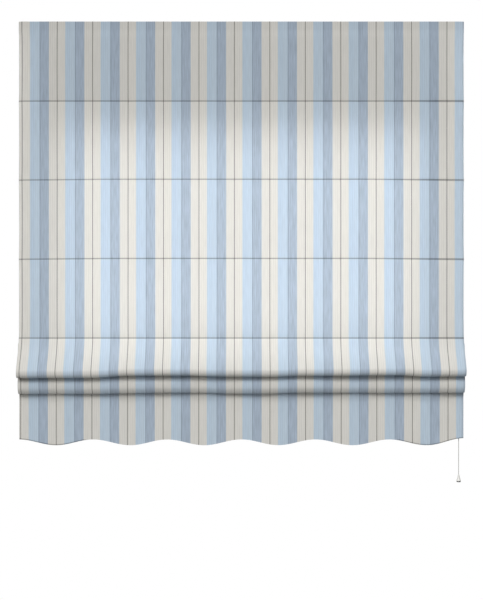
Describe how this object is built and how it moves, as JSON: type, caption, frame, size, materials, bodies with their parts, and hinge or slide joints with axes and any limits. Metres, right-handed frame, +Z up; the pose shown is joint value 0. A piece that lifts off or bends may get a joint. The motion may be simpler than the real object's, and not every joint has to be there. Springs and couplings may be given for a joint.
{
  "type": "roman blind",
  "caption": "Corded roman blind of striped cloth, part raised: flat sections on stay rods, two hanging folds, scalloped valance, headrail with cord lock, pull cord with bell.",
  "frame": {"origin": "midway between the two wall screw holes, on the wall's face", "axes": "+X to the right seen from the front, +Y towards the wall, +Z up"},
  "size_m": [1.3, 0.084, 1.3472],
  "materials": {
    "striped_cloth": "matte woven cotton, cream and blue stripes",
    "white_webbing": "matte woven tape",
    "white_cord": "braided polyester",
    "powder_coat": "white powder coat",
    "zinc_steel": "bright zinc plate",
    "white_plastic": "moulded, satin",
    "acetal": "natural, matte",
    "brass": "plain turned",
    "fibreglass": "pultruded, satin",
    "aluminium": "mill finish",
    "dark_grey_plastic": "moulded, matte"
  },
  "bodies": {
    "rail": {"headrail": "powder_coat", "end_cap": "white_plastic", "hook_tape": "white_webbing", "loop_tape": "white_webbing", "lock_housing": "white_plastic", "lock_pin": "zinc_steel", "blind_cloth": "striped_cloth", "bracket_left": "zinc_steel", "bracket_right": "zinc_steel", "cord_guide_left": "white_plastic", "cord_guide_centre": "white_plastic", "cord_guide_right": "white_plastic", "guide_axle_left": "zinc_steel", "guide_axle_centre": "zinc_steel", "guide_axle_right": "zinc_steel", "lift_cord_left": "white_cord", "lift_cord_centre": "white_cord", "lift_cord_right": "white_cord"},
    "stay_1": {"stay_rod_1": "fibreglass", "rod_pocket_1": "white_webbing", "rings_1": "white_plastic"},
    "stay_2": {"stay_rod_2": "fibreglass", "rod_pocket_2": "white_webbing", "rings_2": "white_plastic"},
    "stay_3": {"stay_rod_3": "fibreglass", "rod_pocket_3": "white_webbing", "rings_3": "white_plastic"},
    "gathered_stays": {"stay_rod_4": "fibreglass", "rod_pocket_4": "white_webbing", "rings_4": "white_plastic", "stay_rod_5": "fibreglass", "rod_pocket_5": "white_webbing", "rings_5": "white_plastic", "bar_pocket": "white_webbing", "bottom_bar": "aluminium", "bar_caps": "white_plastic", "cord_adjuster_left": "white_plastic", "cord_adjuster_centre": "white_plastic", "cord_adjuster_right": "white_plastic"},
    "pull": {"connector_top": "white_plastic", "connector_bottom": "white_plastic", "pull_cord": "white_cord", "bell_shell": "white_plastic", "bell_base": "dark_grey_plastic"},
    "roller_left": {"guide_roller_left": "acetal"},
    "roller_centre": {"guide_roller_centre": "acetal"},
    "roller_right": {"guide_roller_right": "acetal"},
    "lock_roller": {"lock_guide_roller": "acetal"},
    "lock_grip": {"lock_grip_roller": "brass"},
    "latch_left": {"latch_left": "zinc_steel"},
    "latch_right": {"latch_right": "zinc_steel"}
  },
  "joints": [
    {"name": "blind_lift", "type": "slide", "parent": "rail", "child": "gathered_stays", "axis": [0, 0, 1], "range_m": [0, 0.736], "deforming": ["blind_cloth", "lift_cord_left", "lift_cord_centre", "lift_cord_right"]},
    {"name": "stay_1_rise", "type": "slide", "parent": "rail", "child": "stay_1", "axis": [0, 0, 1], "range_m": [0, 0.184]},
    {"name": "stay_2_rise", "type": "slide", "parent": "rail", "child": "stay_2", "axis": [0, 0, 1], "range_m": [0, 0.368]},
    {"name": "stay_3_rise", "type": "slide", "parent": "rail", "child": "stay_3", "axis": [0, 0, 1], "range_m": [0, 0.552]},
    {"name": "cord_pull", "type": "slide", "parent": "rail", "child": "pull", "axis": [0, 0, -1], "range_m": [0, 0.736]},
    {"name": "roller_left_spin", "type": "hinge", "parent": "rail", "child": "roller_left", "pos_m": [-0.5543, -0.0257, 0.001], "axis": [0, 1, 0], "continuous": true},
    {"name": "roller_centre_spin", "type": "hinge", "parent": "rail", "child": "roller_centre", "pos_m": [0.0057, -0.0257, 0.001], "axis": [0, 1, 0], "continuous": true},
    {"name": "roller_right_spin", "type": "hinge", "parent": "rail", "child": "roller_right", "pos_m": [0.5657, -0.0257, 0.001], "axis": [0, 1, 0], "continuous": true},
    {"name": "lock_roller_spin", "type": "hinge", "parent": "rail", "child": "lock_roller", "pos_m": [0.6313, -0.0255, 0.001], "axis": [0, 1, 0], "continuous": true},
    {"name": "lock_release", "type": "slide", "parent": "rail", "child": "lock_grip", "axis": [0.5039, 0, -0.8638], "range_m": [0, 0.00347]},
    {"name": "latch_left_turn", "type": "hinge", "parent": "rail", "child": "latch_left", "pos_m": [-0.45, -0.0255, 0.015], "axis": [0, 0, 1], "range_deg": [0, 90]},
    {"name": "latch_right_turn", "type": "hinge", "parent": "rail", "child": "latch_right", "pos_m": [0.45, -0.0255, 0.015], "axis": [0, 0, 1], "range_deg": [0, 90]}
  ],
  "couplings": [
    {"joint": "stay_1_rise", "follows": "blind_lift", "ratio": 0.25},
    {"joint": "stay_2_rise", "follows": "blind_lift", "ratio": 0.5},
    {"joint": "stay_3_rise", "follows": "blind_lift", "ratio": 0.75},
    {"joint": "cord_pull", "follows": "blind_lift", "ratio": 1},
    {"joint": "roller_left_spin", "follows": "blind_lift", "rad_per_m": 175.44},
    {"joint": "roller_centre_spin", "follows": "blind_lift", "rad_per_m": 175.44},
    {"joint": "roller_right_spin", "follows": "blind_lift", "rad_per_m": 175.44},
    {"joint": "lock_roller_spin", "follows": "blind_lift", "rad_per_m": 175.44}
  ]
}
